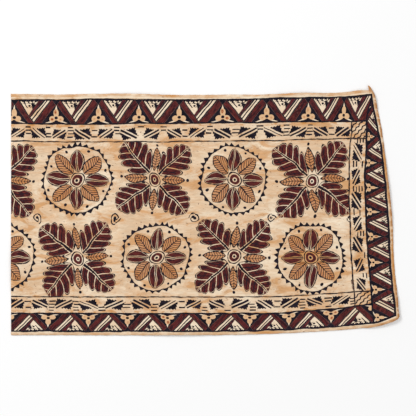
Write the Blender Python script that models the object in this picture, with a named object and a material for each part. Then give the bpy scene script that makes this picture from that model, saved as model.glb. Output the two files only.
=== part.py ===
"""A length of painted tapa bark cloth, lying face up: one sheet of beaten bark with a narrow turned hem.

Metres, +Z up. +X runs along the cloth from its plain cut end to its hemmed end, and +Y runs across it to
its upper edge. The origin is on the surface that the cloth lies on, under the middle of its bounding box.

The sheet starts as a flat grid whose lines follow its four edges. The grid is lifted over the low swells
that bark cloth keeps when it is laid down, and is then given its thickness, which is greater along the hem.
"""

from collections import namedtuple
from math import cos, radians, sin

import bpy
import numpy as np

EdgePoint = namedtuple("EdgePoint", "along at")
Swell = namedtuple("Swell", "x y half_length half_width height turn")

# Thickness of one layer of beaten bark with its paint, and of the hem, where the bark is doubled
SHEET_THICKNESS = 0.0012
HEM_THICKNESS = 0.0024

# Width of the turned hem on each hemmed side, and of the step down from it to the single layer
TOP_HEM = 0.012
SIDE_HEM = 0.0095
BOTTOM_HEM = 0.0088
HEM_STEP = 0.002

# The plain cut end is straight, and stands across the cloth at this X
CUT_END = -0.485

# Upper edge: along is X, at is Y. It bows up towards the hemmed end.
TOP_EDGE = (
    EdgePoint(CUT_END, 0.2912),
    EdgePoint(-0.365, 0.2898),
    EdgePoint(-0.290, 0.2912),
    EdgePoint(-0.185, 0.2919),
    EdgePoint(-0.120, 0.2894),
    EdgePoint(0.045, 0.2892),
    EdgePoint(0.205, 0.2919),
    EdgePoint(0.237, 0.2940),
    EdgePoint(0.295, 0.2931),
    EdgePoint(0.355, 0.2960),
    EdgePoint(0.395, 0.3008),
    EdgePoint(0.4182, 0.2987),
)

# Lower edge: along is X, at is Y. It rises in a round shoulder to the lower right corner.
BOTTOM_EDGE = (
    EdgePoint(CUT_END, -0.3115),
    EdgePoint(0.015, -0.3111),
    EdgePoint(0.115, -0.3099),
    EdgePoint(0.205, -0.3064),
    EdgePoint(0.325, -0.2995),
    EdgePoint(0.385, -0.2948),
    EdgePoint(0.430, -0.2893),
    EdgePoint(0.460, -0.2802),
    EdgePoint(0.475, -0.2738),
    EdgePoint(0.482, -0.2695),
    EdgePoint(0.485, -0.2640),
)

# Hemmed end: along is Y, at is X. It leans out from the upper corner to the lower one.
END_EDGE = (
    EdgePoint(-0.2640, 0.4850),
    EdgePoint(-0.2520, 0.4828),
    EdgePoint(-0.2360, 0.4819),
    EdgePoint(-0.2040, 0.4796),
    EdgePoint(-0.1640, 0.4749),
    EdgePoint(-0.1240, 0.4714),
    EdgePoint(-0.0240, 0.4676),
    EdgePoint(0.0560, 0.4592),
    EdgePoint(0.1560, 0.4474),
    EdgePoint(0.1960, 0.4424),
    EdgePoint(0.2560, 0.4303),
    EdgePoint(0.2860, 0.4238),
    EdgePoint(0.2987, 0.4182),
)

# Low swells where the sheet stands clear of the surface: centre, half sizes, height, and turn in degrees
SWELLS = (
    Swell(0.460, -0.265, 0.150, 0.085, 0.0055, -35.0),
    Swell(0.466, 0.040, 0.150, 0.045, 0.0035, 97.0),
    Swell(0.410, 0.290, 0.090, 0.060, 0.0030, 40.0),
    Swell(0.235, 0.292, 0.095, 0.050, 0.0035, 0.0),
    Swell(-0.160, 0.290, 0.120, 0.045, 0.0030, 4.0),
    Swell(-0.440, 0.180, 0.120, 0.060, 0.0030, 80.0),
    Swell(-0.470, -0.150, 0.110, 0.050, 0.0040, 100.0),
    Swell(-0.215, -0.090, 0.190, 0.035, 0.0020, 86.0),
    Swell(0.170, -0.130, 0.130, 0.050, 0.0018, 12.0),
    Swell(0.150, 0.130, 0.140, 0.045, 0.0016, -14.0),
    Swell(-0.060, -0.300, 0.130, 0.045, 0.0030, 0.0),
)

# Spacing of the grid lines between the hems
GRID_STEP = 0.0145

# The pointed end of the side hem, which sticks out past the upper edge as a flattened taper
EAR_ROOT = (0.4120, 0.2965)
EAR_TIP = (0.4056, 0.3114)
EAR_ROOT_RADIUS = 0.0078
EAR_TIP_RADIUS = 0.0014
EAR_HALF_THICKNESS = 0.0014
EAR_SIDES = 12

BARK_COLOUR = (0.63, 0.44, 0.25, 1.0)
BARK_ROUGHNESS = 0.9


def edge_at(edge, along):
    """Gives an edge's position at the distances along, on a smooth curve through its points."""
    xs = np.array([point.along for point in edge])
    ys = np.array([point.at for point in edge])
    slopes = np.gradient(ys, xs)
    along = np.clip(along, xs[0], xs[-1])
    left = np.clip(np.searchsorted(xs, along, side="right") - 1, 0, len(xs) - 2)
    gap = xs[left + 1] - xs[left]
    t = (along - xs[left]) / gap
    from_left = (1 + 2 * t) * (1 - t) ** 2 * ys[left] + t * (1 - t) ** 2 * gap * slopes[left]
    from_right = t**2 * (3 - 2 * t) * ys[left + 1] - t**2 * (1 - t) * gap * slopes[left + 1]
    return from_left + from_right


def lift_at(x, y):
    """Gives the height of the sheet's underside over the surface: nothing, but for the low swells."""
    lift = np.zeros_like(x)
    for swell in SWELLS:
        turn = radians(swell.turn)
        along = (x - swell.x) * cos(turn) + (y - swell.y) * sin(turn)
        across = (y - swell.y) * cos(turn) - (x - swell.x) * sin(turn)
        reach = (along / swell.half_length) ** 2 + (across / swell.half_width) ** 2
        lift += swell.height * np.clip(1 - reach, 0, None) ** 2
    return lift


def stations(length, first_hem, last_hem):
    """Gives the places of the grid lines over a length from 0 to 1, with lines along both hems' steps.

    A hem of no width is a plain edge, which has no step.
    """
    head = [0.0, first_hem, first_hem + HEM_STEP] if first_hem else [0.0]
    tail = [length - last_hem - HEM_STEP, length - last_hem, length]
    middle = np.linspace(head[-1], tail[0], round((tail[0] - head[-1]) / GRID_STEP) + 1)
    return np.concatenate([head[:-1], middle, tail[1:]]) / length


def sheet_points(across, along):
    """Places the grid: lines across and along, from 0 to 1, blended between the cloth's four edges."""
    u, v = np.meshgrid(across, along, indexing="ij")
    top_right = np.array([TOP_EDGE[-1].along, TOP_EDGE[-1].at])
    bottom_right = np.array([BOTTOM_EDGE[-1].along, BOTTOM_EDGE[-1].at])
    top_left = np.array([CUT_END, TOP_EDGE[0].at])
    bottom_left = np.array([CUT_END, BOTTOM_EDGE[0].at])

    top_x = top_left[0] + u * (top_right[0] - top_left[0])
    top = np.stack([top_x, edge_at(TOP_EDGE, top_x)])
    bottom_x = bottom_left[0] + u * (bottom_right[0] - bottom_left[0])
    bottom = np.stack([bottom_x, edge_at(BOTTOM_EDGE, bottom_x)])
    end_y = bottom_right[1] + v * (top_right[1] - bottom_right[1])
    end = np.stack([edge_at(END_EDGE, end_y), end_y])
    cut = np.stack([np.full_like(v, CUT_END), bottom_left[1] + v * (top_left[1] - bottom_left[1])])

    corners = [bottom_left, bottom_right, top_left, top_right]
    shares = [(1 - u) * (1 - v), u * (1 - v), (1 - u) * v, u * v]
    flat = sum(corner[:, None, None] * share for corner, share in zip(corners, shares))
    x, y = (1 - v) * bottom + v * top + (1 - u) * cut + u * end - flat
    return x, y


def add_sheet(material):
    """Adds the cloth as a grid on its swells, with its thickness."""
    length = TOP_EDGE[-1].along - CUT_END
    width = TOP_EDGE[0].at - BOTTOM_EDGE[0].at
    across = stations(length, 0.0, SIDE_HEM)
    along = stations(width, BOTTOM_HEM, TOP_HEM)
    x, y = sheet_points(across, along)
    z = lift_at(x, y)

    cells_x = len(across) - 1
    cells_y = len(along) - 1
    bpy.ops.mesh.primitive_grid_add(x_subdivisions=cells_x, y_subdivisions=cells_y, size=1)
    sheet = bpy.context.object
    sheet.name = "tapa_cloth"
    sheet.data.materials.append(material)
    doubled = sheet.vertex_groups.new(name="doubled")
    for vertex in sheet.data.vertices:
        i = round((vertex.co.x + 0.5) * cells_x)
        j = round((vertex.co.y + 0.5) * cells_y)
        in_hem = i >= cells_x - 1 or j <= 1 or j >= cells_y - 1
        doubled.add([vertex.index], float(in_hem), "REPLACE")
        vertex.co = (x[i, j], y[i, j], z[i, j])

    thicken = sheet.modifiers.new("thickness", "SOLIDIFY")
    thicken.thickness = HEM_THICKNESS
    thicken.offset = 1.0
    thicken.vertex_group = doubled.name
    thicken.thickness_vertex_group = SHEET_THICKNESS / HEM_THICKNESS
    return sheet


def add_ear(sheet):
    """Joins the pointed end of the side hem to the sheet's upper corner."""
    run = np.subtract(EAR_TIP, EAR_ROOT)
    centre = np.add(EAR_TIP, EAR_ROOT) / 2
    height = float(lift_at(np.array([centre[0]]), np.array([centre[1]]))[0]) + HEM_THICKNESS / 2
    bpy.ops.mesh.primitive_cone_add(
        vertices=EAR_SIDES,
        radius1=EAR_ROOT_RADIUS,
        radius2=EAR_TIP_RADIUS,
        depth=float(np.hypot(*run)),
        rotation=(radians(-90), 0.0, 0.0),
    )
    ear = bpy.context.object
    bpy.ops.object.transform_apply(location=False, rotation=True, scale=False)
    ear.scale.z = EAR_HALF_THICKNESS / EAR_ROOT_RADIUS
    ear.rotation_euler.z = float(np.arctan2(-run[0], run[1]))
    ear.location = (centre[0], centre[1], height)
    ear.name = "hem_point"
    ear.hide_render = True
    ear.display_type = "WIRE"

    join = sheet.modifiers.new("hem_point", "BOOLEAN")
    join.operation = "UNION"
    join.solver = "EXACT"
    join.object = ear


def bark_material():
    """Makes the plain colour of the beaten bark."""
    material = bpy.data.materials.new("bark")
    material.use_nodes = True
    shader = material.node_tree.nodes["Principled BSDF"]
    shader.inputs["Base Color"].default_value = BARK_COLOUR
    shader.inputs["Roughness"].default_value = BARK_ROUGHNESS
    shader.inputs["Metallic"].default_value = 0.0
    return material


def main():
    """Clears the scene and builds the cloth."""
    for obj in list(bpy.data.objects):
        bpy.data.objects.remove(obj, do_unlink=True)
    sheet = add_sheet(bark_material())
    add_ear(sheet)


main()
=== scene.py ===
"""Dresses a length of painted tapa bark cloth, lying face up on a pale floor.

The cloth is one fine sheet that follows its solid's outline, hem and swells. Its paint is drawn by shader
nodes on measures that the sheet carries: how far each point is from the ruled lines, and how far it has run
along each painted border. Everything is in metres, in the cloth's own frame.
"""

from __future__ import annotations

import logging
import math
from collections.abc import Sequence
from dataclasses import dataclass, field
from enum import Enum
from typing import NamedTuple

import bpy
import numpy as np
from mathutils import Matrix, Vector, noise

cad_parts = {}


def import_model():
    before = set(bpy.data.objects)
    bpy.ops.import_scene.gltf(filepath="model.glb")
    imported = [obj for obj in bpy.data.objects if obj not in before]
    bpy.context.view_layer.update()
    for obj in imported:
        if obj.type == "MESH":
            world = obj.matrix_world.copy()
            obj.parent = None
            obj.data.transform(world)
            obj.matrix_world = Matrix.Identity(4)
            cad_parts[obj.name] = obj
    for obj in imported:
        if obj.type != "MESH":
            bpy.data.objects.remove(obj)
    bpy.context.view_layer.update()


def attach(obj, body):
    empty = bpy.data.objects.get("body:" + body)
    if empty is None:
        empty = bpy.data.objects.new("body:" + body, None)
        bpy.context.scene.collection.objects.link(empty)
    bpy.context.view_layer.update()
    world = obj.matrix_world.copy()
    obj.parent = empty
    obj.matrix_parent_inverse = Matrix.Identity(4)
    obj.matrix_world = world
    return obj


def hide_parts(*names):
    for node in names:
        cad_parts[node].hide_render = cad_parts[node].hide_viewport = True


LOG = logging.getLogger("tapa_cloth")

# A linear colour with its alpha, as a shader takes it
Colour = tuple[float, float, float, float]

# Two arrays of numbers that belong together, such as X and Y
Arrays = tuple[np.ndarray, np.ndarray]


def seen(red: int, green: int, blue: int) -> Colour:
    """Turns a colour as it is seen, 0 to 255, into the linear colour that a shader takes.

    Args:
        red: The red share.
        green: The green share.
        blue: The blue share.

    Returns:
        The linear colour, with an alpha of one.
    """
    shares = [share / 255 for share in (red, green, blue)]
    linear = [s / 12.92 if s <= 0.04045 else ((s + 0.055) / 1.055) ** 2.4 for s in shares]
    return (linear[0], linear[1], linear[2], 1.0)


class Stop(NamedTuple):
    """One point of a line: a distance along it, and where the line is there."""

    along: float
    at: float


class Swell(NamedTuple):
    """A low rise in the sheet, as its solid has it: centre, half sizes, height, and turn in degrees."""

    x: float
    y: float
    half_length: float
    half_width: float
    height: float
    turn: float


class Crease(NamedTuple):
    """A soft fold line: centre, length, half width, height (less than nothing for a trough) and turn."""

    x: float
    y: float
    length: float
    half_width: float
    height: float
    turn: float


class Ripple(NamedTuple):
    """A layer of fine relief: its size along and across, its seed, its height, and what lifts it."""

    length: float
    width: float
    seed: float
    height: float
    lift: float


class Fray(NamedTuple):
    """A layer of the edge's unevenness: its size, its seed, and its share of the whole."""

    size: float
    seed: float
    share: float


class Stain(NamedTuple):
    """A rusty stain in the bark: centre, half sizes, and how strong it is."""

    x: float
    y: float
    half_length: float
    half_width: float
    strength: float


def smooth_line(stops: Sequence[Stop], along: np.ndarray) -> np.ndarray:
    """Follows a smooth curve through the stops of a line.

    Args:
        stops: The line's points, in order of their distance along.
        along: The distances to read it at.

    Returns:
        Where the line is at each distance. Past its ends it stays level.
    """
    xs = np.array([stop.along for stop in stops])
    ys = np.array([stop.at for stop in stops])
    slopes = np.gradient(ys, xs)
    along = np.clip(along, xs[0], xs[-1])
    left = np.clip(np.searchsorted(xs, along, side="right") - 1, 0, len(xs) - 2)
    gap = xs[left + 1] - xs[left]
    t = (along - xs[left]) / gap
    from_left = (1 + 2 * t) * (1 - t) ** 2 * ys[left] + t * (1 - t) ** 2 * gap * slopes[left]
    from_right = t**2 * (3 - 2 * t) * ys[left + 1] - t**2 * (1 - t) * gap * slopes[left + 1]
    return from_left + from_right


def straight_line(stops: Sequence[Stop], along: np.ndarray) -> np.ndarray:
    """Follows straight runs between the stops of a line.

    Args:
        stops: The line's points, in order of their distance along.
        along: The distances to read it at.

    Returns:
        Where the line is at each distance.
    """
    return np.interp(along, [stop.along for stop in stops], [stop.at for stop in stops])


def in_own_frame(fold: Swell | Crease, x: np.ndarray, y: np.ndarray) -> Arrays:
    """Measures points from the centre of a swell or a crease, along it and across it.

    Args:
        fold: The swell or crease.
        x: The points' X.
        y: The points' Y.

    Returns:
        The distances along it and across it.
    """
    cos, sin = math.cos(math.radians(fold.turn)), math.sin(math.radians(fold.turn))
    east, north = x - fold.x, y - fold.y
    return east * cos + north * sin, north * cos - east * sin


@dataclass(frozen=True)
class Outline:
    """The cloth's four edges, its hem widths and its swells. Its solid is made from the same values."""

    cut_end: float = -0.485
    top_hem: float = 0.012
    side_hem: float = 0.0095
    bottom_hem: float = 0.0088
    hem_step: float = 0.002
    top: tuple[Stop, ...] = (
        Stop(-0.485, 0.2912),
        Stop(-0.365, 0.2898),
        Stop(-0.290, 0.2912),
        Stop(-0.185, 0.2919),
        Stop(-0.120, 0.2894),
        Stop(0.045, 0.2892),
        Stop(0.205, 0.2919),
        Stop(0.237, 0.2940),
        Stop(0.295, 0.2931),
        Stop(0.355, 0.2960),
        Stop(0.395, 0.3008),
        Stop(0.4182, 0.2987),
    )
    bottom: tuple[Stop, ...] = (
        Stop(-0.485, -0.3115),
        Stop(0.015, -0.3111),
        Stop(0.115, -0.3099),
        Stop(0.205, -0.3064),
        Stop(0.325, -0.2995),
        Stop(0.385, -0.2948),
        Stop(0.430, -0.2893),
        Stop(0.460, -0.2802),
        Stop(0.475, -0.2738),
        Stop(0.482, -0.2695),
        Stop(0.485, -0.2640),
    )
    end: tuple[Stop, ...] = (
        Stop(-0.2640, 0.4850),
        Stop(-0.2520, 0.4828),
        Stop(-0.2360, 0.4819),
        Stop(-0.2040, 0.4796),
        Stop(-0.1640, 0.4749),
        Stop(-0.1240, 0.4714),
        Stop(-0.0240, 0.4676),
        Stop(0.0560, 0.4592),
        Stop(0.1560, 0.4474),
        Stop(0.1960, 0.4424),
        Stop(0.2560, 0.4303),
        Stop(0.2860, 0.4238),
        Stop(0.2987, 0.4182),
    )
    swells: tuple[Swell, ...] = (
        Swell(0.460, -0.265, 0.150, 0.085, 0.0055, -35.0),
        Swell(0.466, 0.040, 0.150, 0.045, 0.0035, 97.0),
        Swell(0.410, 0.290, 0.090, 0.060, 0.0030, 40.0),
        Swell(0.235, 0.292, 0.095, 0.050, 0.0035, 0.0),
        Swell(-0.160, 0.290, 0.120, 0.045, 0.0030, 4.0),
        Swell(-0.440, 0.180, 0.120, 0.060, 0.0030, 80.0),
        Swell(-0.470, -0.150, 0.110, 0.050, 0.0040, 100.0),
        Swell(-0.215, -0.090, 0.190, 0.035, 0.0020, 86.0),
        Swell(0.170, -0.130, 0.130, 0.050, 0.0018, 12.0),
        Swell(0.150, 0.130, 0.140, 0.045, 0.0016, -14.0),
        Swell(-0.060, -0.300, 0.130, 0.045, 0.0030, 0.0),
    )

    def corners(self) -> dict[str, np.ndarray]:
        """Gives the cloth's four corners."""
        return {
            "top_left": np.array([self.cut_end, self.top[0].at]),
            "top_right": np.array([self.top[-1].along, self.top[-1].at]),
            "bottom_left": np.array([self.cut_end, self.bottom[0].at]),
            "bottom_right": np.array([self.bottom[-1].along, self.bottom[-1].at]),
        }

    def place(self, u: np.ndarray, v: np.ndarray) -> Arrays:
        """Places points of a unit square between the four edges.

        Args:
            u: The share of the way from the cut end to the hemmed end.
            v: The share of the way from the lower edge to the upper edge.

        Returns:
            The points' X and Y.
        """
        corner = self.corners()
        top_x = corner["top_left"][0] + u * (corner["top_right"][0] - corner["top_left"][0])
        top = np.stack([top_x, smooth_line(self.top, top_x)])
        bottom_x = corner["bottom_left"][0] + u * (corner["bottom_right"][0] - corner["bottom_left"][0])
        bottom = np.stack([bottom_x, smooth_line(self.bottom, bottom_x)])
        end_y = corner["bottom_right"][1] + v * (corner["top_right"][1] - corner["bottom_right"][1])
        end = np.stack([smooth_line(self.end, end_y), end_y])
        cut_y = corner["bottom_left"][1] + v * (corner["top_left"][1] - corner["bottom_left"][1])
        cut = np.stack([np.full_like(v, self.cut_end), cut_y])
        flat = (
            corner["bottom_left"][:, None, None] * (1 - u) * (1 - v)
            + corner["bottom_right"][:, None, None] * u * (1 - v)
            + corner["top_left"][:, None, None] * (1 - u) * v
            + corner["top_right"][:, None, None] * u * v
        )
        x, y = (1 - v) * bottom + v * top + (1 - u) * cut + u * end - flat
        return x, y

    def lift(self, x: np.ndarray, y: np.ndarray) -> np.ndarray:
        """Gives the height of the sheet's underside over the floor, from its swells.

        Args:
            x: The points' X.
            y: The points' Y.

        Returns:
            The heights.
        """
        height = np.zeros_like(x)
        for swell in self.swells:
            along, across = in_own_frame(swell, x, y)
            reach = (along / swell.half_length) ** 2 + (across / swell.half_width) ** 2
            height += swell.height * np.clip(1 - reach, 0, None) ** 2
        return height


@dataclass(frozen=True)
class Border:
    """One painted side of the cloth: its three ruled lines, and where its hand-drawn repeats fall.

    The thin line bounds the field, the inner line parts the slanted-leaf band from the triangle frieze, and
    the outer line runs along the hem. Each is a line over the distance along the side. Frieze stops give the
    repeat's number where two triangles meet on the inner line, and leaf stops give the number of each leaf.
    Even leaves rise along the run where even_lean is 1, and past slip they lean the other way.
    """

    name: str
    outward: int
    upright: bool
    thin: tuple[Stop, ...]
    inner: tuple[Stop, ...]
    outer: tuple[Stop, ...]
    frieze: tuple[Stop, ...]
    leaves: tuple[Stop, ...]
    even_lean: int = 1
    slip: float = 9.0

    def measures(self, x: np.ndarray, y: np.ndarray) -> dict[str, np.ndarray]:
        """Measures points against this side.

        Args:
            x: The points' X.
            y: The points' Y.

        Returns:
            For each attribute that the sheet carries for this side, its values, one row for each point.
        """
        along, across = (y, x) if self.upright else (x, y)
        ruled = (self.thin, self.inner, self.outer)
        lines = [self.outward * (across - smooth_line(line, along)) for line in ruled]
        leaf = straight_line(self.leaves, along)
        even = np.where(np.rint(leaf) % 2 < 0.5, 1.0, -1.0)
        slipped = np.where(along > self.slip, -1.0, 1.0)
        run = [straight_line(self.frieze, along), leaf, self.even_lean * even * slipped]
        return {
            f"{self.name}_lines": np.stack(lines, axis=-1),
            f"{self.name}_run": np.stack(run, axis=-1),
        }


UPPER = Border(
    name="upper",
    outward=1,
    upright=False,
    thin=(Stop(-0.485, 0.1740), Stop(-0.290, 0.1720), Stop(-0.055, 0.1730), Stop(0.125, 0.1750),
          Stop(0.245, 0.1775), Stop(0.325, 0.1800), Stop(0.400, 0.1805)),
    inner=(Stop(-0.485, 0.2175), Stop(-0.350, 0.2163), Stop(-0.175, 0.2180), Stop(0.000, 0.2190),
           Stop(0.125, 0.2205), Stop(0.245, 0.2225), Stop(0.365, 0.2230), Stop(0.410, 0.2240)),
    outer=(Stop(-0.485, 0.2768), Stop(-0.365, 0.2768), Stop(-0.240, 0.2785), Stop(-0.120, 0.2766),
           Stop(0.000, 0.2768), Stop(0.150, 0.2800), Stop(0.260, 0.2822), Stop(0.350, 0.2840),
           Stop(0.412, 0.2888)),
    frieze=(Stop(-0.532, -1), Stop(-0.427, 0), Stop(-0.322, 1), Stop(-0.217, 2), Stop(-0.120, 3),
            Stop(-0.015, 4), Stop(0.097, 5), Stop(0.205, 6), Stop(0.305, 7), Stop(0.384, 8), Stop(0.467, 9)),
    leaves=(Stop(-0.522, -1), Stop(-0.466, 0), Stop(-0.365, 2), Stop(-0.248, 4), Stop(-0.133, 6),
            Stop(-0.021, 8), Stop(0.107, 10), Stop(0.234, 12), Stop(0.344, 14), Stop(0.400, 15)),
)

SIDE = Border(
    name="side",
    outward=1,
    upright=True,
    thin=(Stop(-0.270, 0.3745), Stop(-0.224, 0.3735), Stop(-0.194, 0.3720), Stop(-0.114, 0.3655),
          Stop(-0.034, 0.3625), Stop(0.086, 0.3600), Stop(0.146, 0.3620), Stop(0.206, 0.3660),
          Stop(0.230, 0.3670)),
    inner=(Stop(-0.281, 0.4215), Stop(-0.254, 0.4175), Stop(-0.224, 0.4165), Stop(-0.154, 0.4110),
           Stop(-0.074, 0.4050), Stop(0.006, 0.4020), Stop(0.086, 0.3995), Stop(0.146, 0.4025),
           Stop(0.206, 0.4035), Stop(0.230, 0.4035)),
    outer=(Stop(-0.262, 0.4748), Stop(-0.224, 0.4719), Stop(-0.174, 0.4669), Stop(-0.099, 0.4610),
           Stop(-0.024, 0.4574), Stop(0.051, 0.4509), Stop(0.126, 0.4437), Stop(0.176, 0.4362),
           Stop(0.221, 0.4274), Stop(0.251, 0.4212), Stop(0.288, 0.4145)),
    frieze=(Stop(-0.299, 8), Stop(-0.231, 7), Stop(-0.161, 6), Stop(-0.096, 5), Stop(-0.031, 4),
            Stop(0.027, 3), Stop(0.091, 2), Stop(0.150, 1), Stop(0.224, 0), Stop(0.296, -1)),
    leaves=(Stop(-0.232, 8), Stop(-0.184, 7), Stop(-0.139, 6), Stop(-0.084, 5), Stop(-0.034, 4),
            Stop(0.024, 3), Stop(0.083, 2), Stop(0.145, 1), Stop(0.205, 0)),
    even_lean=-1,
)

LOWER = Border(
    name="lower",
    outward=-1,
    upright=False,
    thin=(Stop(-0.485, -0.2160), Stop(-0.150, -0.2165), Stop(0.060, -0.2163), Stop(0.187, -0.2153),
          Stop(0.250, -0.2123), Stop(0.312, -0.2088), Stop(0.367, -0.2037), Stop(0.415, -0.2005)),
    inner=(Stop(-0.485, -0.2575), Stop(-0.050, -0.2583), Stop(0.100, -0.2578), Stop(0.187, -0.2563),
           Stop(0.250, -0.2515), Stop(0.327, -0.2460), Stop(0.367, -0.2405), Stop(0.415, -0.2340)),
    outer=(Stop(-0.485, -0.3025), Stop(0.000, -0.3015), Stop(0.115, -0.3008), Stop(0.187, -0.2985),
           Stop(0.262, -0.2945), Stop(0.337, -0.2895), Stop(0.387, -0.2845), Stop(0.417, -0.2810),
           Stop(0.447, -0.2735), Stop(0.474, -0.2620)),
    frieze=(Stop(-0.543, 9), Stop(-0.441, 8), Stop(-0.338, 7), Stop(-0.242, 6), Stop(-0.143, 5),
            Stop(-0.041, 4), Stop(0.064, 3), Stop(0.162, 2), Stop(0.259, 1), Stop(0.373, 0),
            Stop(0.482, -1)),
    leaves=(Stop(-0.529, 15), Stop(-0.473, 14), Stop(-0.354, 12), Stop(-0.229, 10), Stop(-0.093, 8),
            Stop(-0.027, 7), Stop(0.026, 6), Stop(0.087, 5), Stop(0.147, 4), Stop(0.212, 3),
            Stop(0.272, 2), Stop(0.338, 1), Stop(0.400, 0)),
    slip=-0.060,
)

# Where the upper and the side frieze meet, the seam between them runs from the first corner to the second
MITRE = (Stop(0.4019, 0.2220), Stop(0.4169, 0.2887))

# Length of one repeat of the triangle frieze and of the slanted leaves, on average
FRIEZE_REPEAT = 0.104
LEAF_REPEAT = 0.058
FRIEZE_HEIGHT = 0.060
LEAF_BAND_HEIGHT = 0.042


class Signal:
    """A number that changes over the surface, held as a node's output. Arithmetic on it adds nodes."""

    def __init__(self, graph: Graph, socket: bpy.types.NodeSocket) -> None:
        """Keeps the graph and the output socket."""
        self.graph = graph
        self.socket = socket

    def __add__(self, other: Number) -> Signal:
        """Adds another number."""
        return self.graph.math("ADD", self, other)

    def __sub__(self, other: Number) -> Signal:
        """Takes another number away."""
        return self.graph.math("SUBTRACT", self, other)

    def __rsub__(self, other: Number) -> Signal:
        """Takes this number away from another."""
        return self.graph.math("SUBTRACT", other, self)

    def __mul__(self, other: Number) -> Signal:
        """Multiplies by another number."""
        return self.graph.math("MULTIPLY", self, other)

    def __truediv__(self, other: Number) -> Signal:
        """Divides by another number."""
        return self.graph.math("DIVIDE", self, other)

    def __pow__(self, power: Number) -> Signal:
        """Raises to a power."""
        return self.graph.math("POWER", self, power)

    def __abs__(self) -> Signal:
        """Drops the sign."""
        return self.graph.math("ABSOLUTE", self)

    __radd__ = __add__
    __rmul__ = __mul__

    def times_add(self, factor: Number, term: Number) -> Signal:
        """Multiplies by a factor and adds a term."""
        return self.graph.math("MULTIPLY_ADD", self, factor, term)

    def fract(self) -> Signal:
        """Keeps the part after the point."""
        return self.graph.math("FRACT", self)

    def nearest(self) -> Signal:
        """Rounds to the nearest whole number."""
        return self.graph.math("ROUND", self)

    def floor(self) -> Signal:
        """Rounds down to a whole number."""
        return self.graph.math("FLOOR", self)

    def sine(self) -> Signal:
        """Gives the sine of the number in radians."""
        return self.graph.math("SINE", self)

    def cosine(self) -> Signal:
        """Gives the cosine of the number in radians."""
        return self.graph.math("COSINE", self)

    def least(self, other: Number) -> Signal:
        """Keeps the smaller of two numbers: where both masks are."""
        return self.graph.math("MINIMUM", self, other)

    def most(self, other: Number) -> Signal:
        """Keeps the larger of two numbers: where either mask is."""
        return self.graph.math("MAXIMUM", self, other)

    def above(self, edge: Number, soft: float) -> Signal:
        """Makes a mask of where the number is above an edge.

        Args:
            edge: The edge, where the mask is a half.
            soft: The rise over which the mask goes from nothing to one.

        Returns:
            The mask.
        """
        if isinstance(edge, Signal):
            return self.graph.math("MULTIPLY_ADD", self - edge, 1 / soft, 0.5, clamp=True)
        return self.graph.math("MULTIPLY_ADD", self, 1 / soft, 0.5 - edge / soft, clamp=True)

    def below(self, edge: Number, soft: float) -> Signal:
        """Makes a mask of where the number is below an edge.

        Args:
            edge: The edge, where the mask is a half.
            soft: The rise over which the mask goes from one to nothing.

        Returns:
            The mask.
        """
        if isinstance(edge, Signal):
            return self.graph.math("MULTIPLY_ADD", edge - self, 1 / soft, 0.5, clamp=True)
        return self.graph.math("MULTIPLY_ADD", self, -1 / soft, 0.5 + edge / soft, clamp=True)

    def within(self, low: float, high: float, soft: float) -> Signal:
        """Makes a mask of where the number is between two edges."""
        return self.above(low, soft).least(self.below(high, soft))

    def band(self, half: Number, soft: float) -> Signal:
        """Makes a mask of where the number is no further than a half width from nothing."""
        return abs(self).below(half, soft)

    def scaled(self, start: float, size: float) -> Signal:
        """Counts from a start in steps of a size."""
        return self.times_add(1 / size, -start / size)

    def from_half(self) -> Signal:
        """Gives how far the part after the point is from a half."""
        return abs(self.fract() - 0.5)

    def inverse(self) -> Signal:
        """Turns a mask round."""
        return self.graph.math("SUBTRACT", 1.0, self)

    def without(self, other: Signal) -> Signal:
        """Cuts another mask out of this one."""
        return self * other.inverse()


Number = Signal | float
Masks = tuple[Signal, Signal, Signal]
Sockets = dict[str, bpy.types.NodeSocket]


class Grain(NamedTuple):
    """One layer of noise: the size of its features each way, in metres, and how many finer layers it has.

    Roughness is how strong those are, shift moves the noise, so that two of the same size differ, and
    distortion is how far its patches run and curl.
    """

    size: tuple[float, float, float]
    detail: float = 2.0
    roughness: float = 0.5
    shift: float = 0.0
    distortion: float = 0.0


class Disc(NamedTuple):
    """A disc or an ellipse in a motif's own coordinates: its centre and its half sizes."""

    at: tuple[float, float]
    half: tuple[float, float]


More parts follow.
